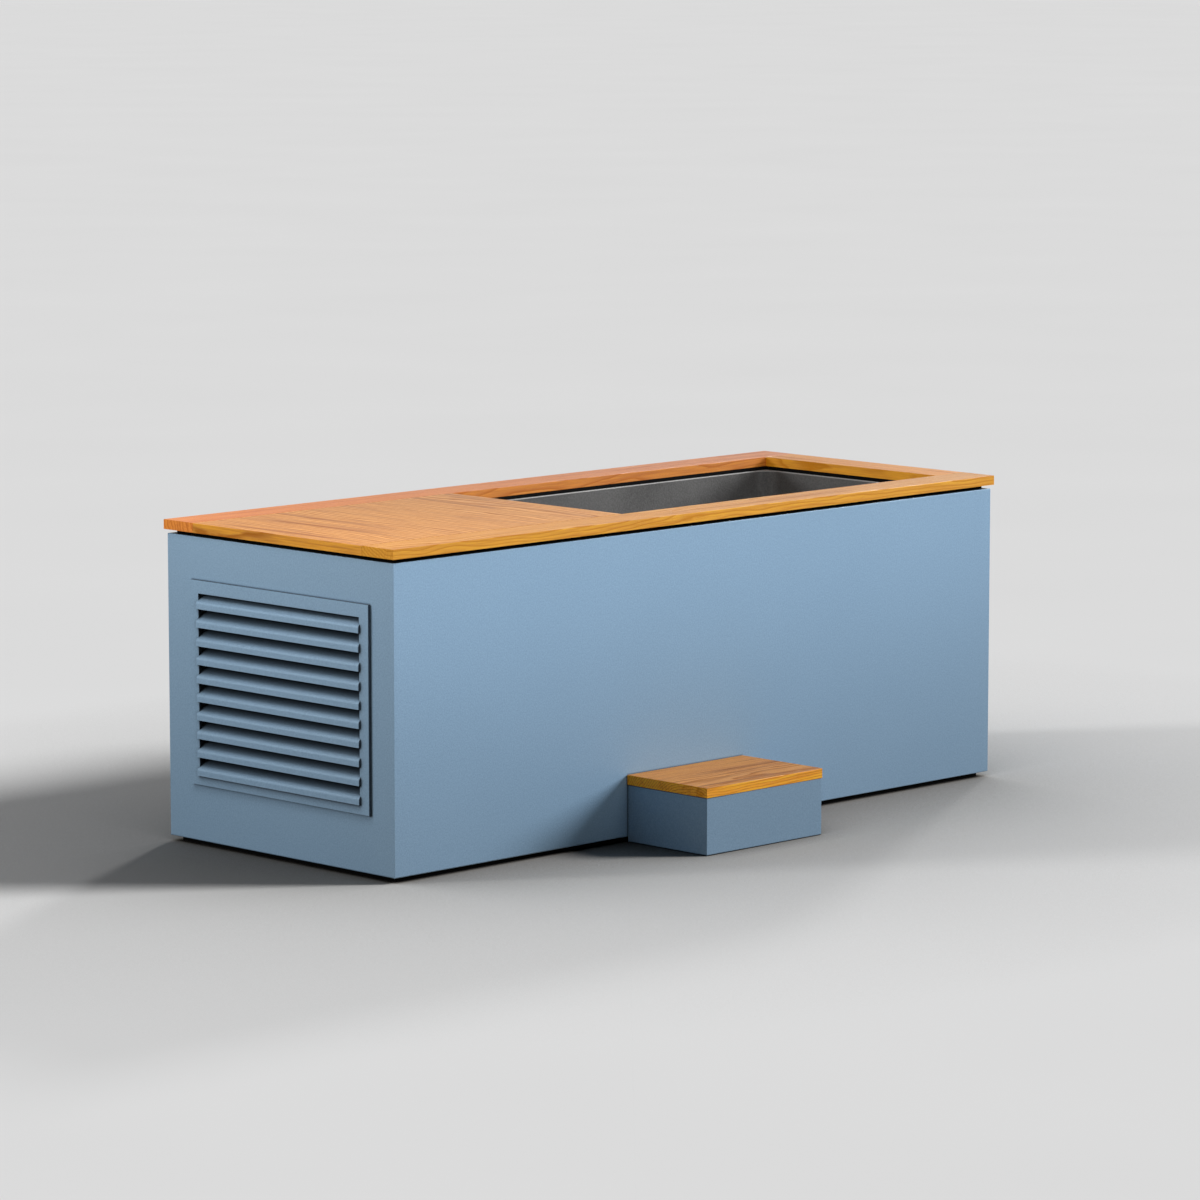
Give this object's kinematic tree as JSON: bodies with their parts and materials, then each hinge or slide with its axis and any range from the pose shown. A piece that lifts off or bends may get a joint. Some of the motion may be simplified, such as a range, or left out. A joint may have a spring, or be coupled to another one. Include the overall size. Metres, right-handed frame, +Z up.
{
  "type": "cold plunge tub",
  "caption": "Sheet-metal cold plunge tub with a timber deck round a sunken tub, a lift-off hatch over its chiller bay, a louvred end and a loose step.",
  "frame": {"origin": "middle of the whole, cabinet and step together, on the floor", "axes": "+X along the cabinet from the louvred end to the tub end, +Y from the step to the back of the cabinet, +Z up"},
  "size_m": [2.221, 1.1426, 0.825],
  "materials": {
    "powder_coat": "satin powder coat with a fine speckle",
    "black_band": "matt black",
    "chassis_steel": "matt grey paint",
    "floor_ply": "sealed film-faced plywood",
    "bay_sheet": "galvanised sheet",
    "deck_timber": "oiled light hardwood",
    "hatch_timber": "oiled light hardwood",
    "step_timber": "oiled hardwood, a browner board",
    "zinc_fastener": "zinc plated",
    "tub_skin": "dark grey, lightly textured",
    "insulation": "rigid foam",
    "fitting_steel": "satin stainless steel",
    "water_pipe": "white pressure pipe",
    "valve_brass": "cast and machined",
    "valve_lever": "red dipped lever",
    "pump_case": "painted casting",
    "filter_case": "moulded",
    "filter_cap": "moulded",
    "filter_paper": "pleated filter fleece",
    "compressor_can": "gloss black",
    "coil_metal": "bare fins and tubes",
    "shroud_steel": "black",
    "motor_steel": "grey enamel",
    "fan_moulding": "moulded black",
    "exchanger_steel": "stainless steel",
    "line_copper": "drawn copper",
    "box_enamel": "light grey enamel",
    "gland_moulding": "moulded black"
  },
  "bodies": {
    "cabinet": {"plinth_sides": "black_band", "plinth_ends": "black_band", "plinth_bearers": "black_band", "chassis_lower_rails": "chassis_steel", "chassis_lower_cross": "chassis_steel", "chassis_posts": "chassis_steel", "chassis_upper_rails": "chassis_steel", "chassis_upper_cross": "chassis_steel", "floor_board": "floor_ply", "bulkhead": "bay_sheet", "front_panel": "powder_coat", "back_panel": "powder_coat", "left_end_panel": "powder_coat", "right_end_panel": "powder_coat", "louvre_rails": "powder_coat", "louvre_jambs": "powder_coat", "louvre_blades": "powder_coat", "spacer_rails": "black_band", "spacer_cross": "black_band", "deck_rail_front": "deck_timber", "deck_rail_back": "deck_timber", "deck_rail_right": "deck_timber", "deck_bolts": "zinc_fastener", "tub_shell": "tub_skin", "tub_rim": "tub_skin", "tub_foam_walls": "insulation", "tub_foam_floor": "insulation", "suction_fitting": "fitting_steel", "return_fitting": "fitting_steel", "drain_fitting": "fitting_steel", "fitting_nuts": "fitting_steel", "suction_pipe": "water_pipe", "pump_pipe": "water_pipe", "filter_pipe": "water_pipe", "return_pipe": "water_pipe", "drain_pipe": "water_pipe", "drain_valve_body": "valve_brass", "drain_tail": "water_pipe", "drain_outlet": "fitting_steel", "pump": "pump_case", "filter_housing": "filter_case", "filter_cartridge": "filter_paper", "chiller_tray": "bay_sheet", "compressor": "compressor_can", "condenser": "coil_metal", "fan_shroud": "shroud_steel", "fan_motor": "motor_steel", "heat_exchanger": "exchanger_steel", "refrigerant_pipes": "line_copper", "control_box": "box_enamel", "cable_gland": "gland_moulding"},
    "hatch": {"hatch_panel": "hatch_timber", "hatch_battens": "hatch_timber", "hatch_screws": "zinc_fastener"},
    "step": {"step_panels": "powder_coat", "step_top": "step_timber", "step_battens": "step_timber"},
    "fan": {"fan": "fan_moulding"},
    "drain_valve": {"drain_valve_lever": "valve_lever"},
    "filter_cap": {"filter_lid": "filter_cap"}
  },
  "joints": [
    {"name": "hatch_lift", "type": "slide", "parent": "cabinet", "child": "hatch", "axis": [0, 0, 1], "range_m": [0, 0.3]},
    {"name": "step_slide", "type": "slide", "parent": "cabinet", "child": "step", "axis": [0, -1, 0], "range_m": [0, 0.3]},
    {"name": "fan_spin", "type": "hinge", "parent": "cabinet", "child": "fan", "pos_m": [-0.9825, 0.12825, 0.354], "axis": [1, 0, 0], "continuous": true},
    {"name": "drain_valve_turn", "type": "hinge", "parent": "cabinet", "child": "drain_valve", "pos_m": [-0.3285, 0.35125, 0.092], "axis": [0, 0, -1], "range_deg": [0, 90]},
    {"name": "filter_lid_lift", "type": "slide", "parent": "cabinet", "child": "filter_cap", "axis": [0, 0, 1], "range_m": [0, 0.15]}
  ]
}
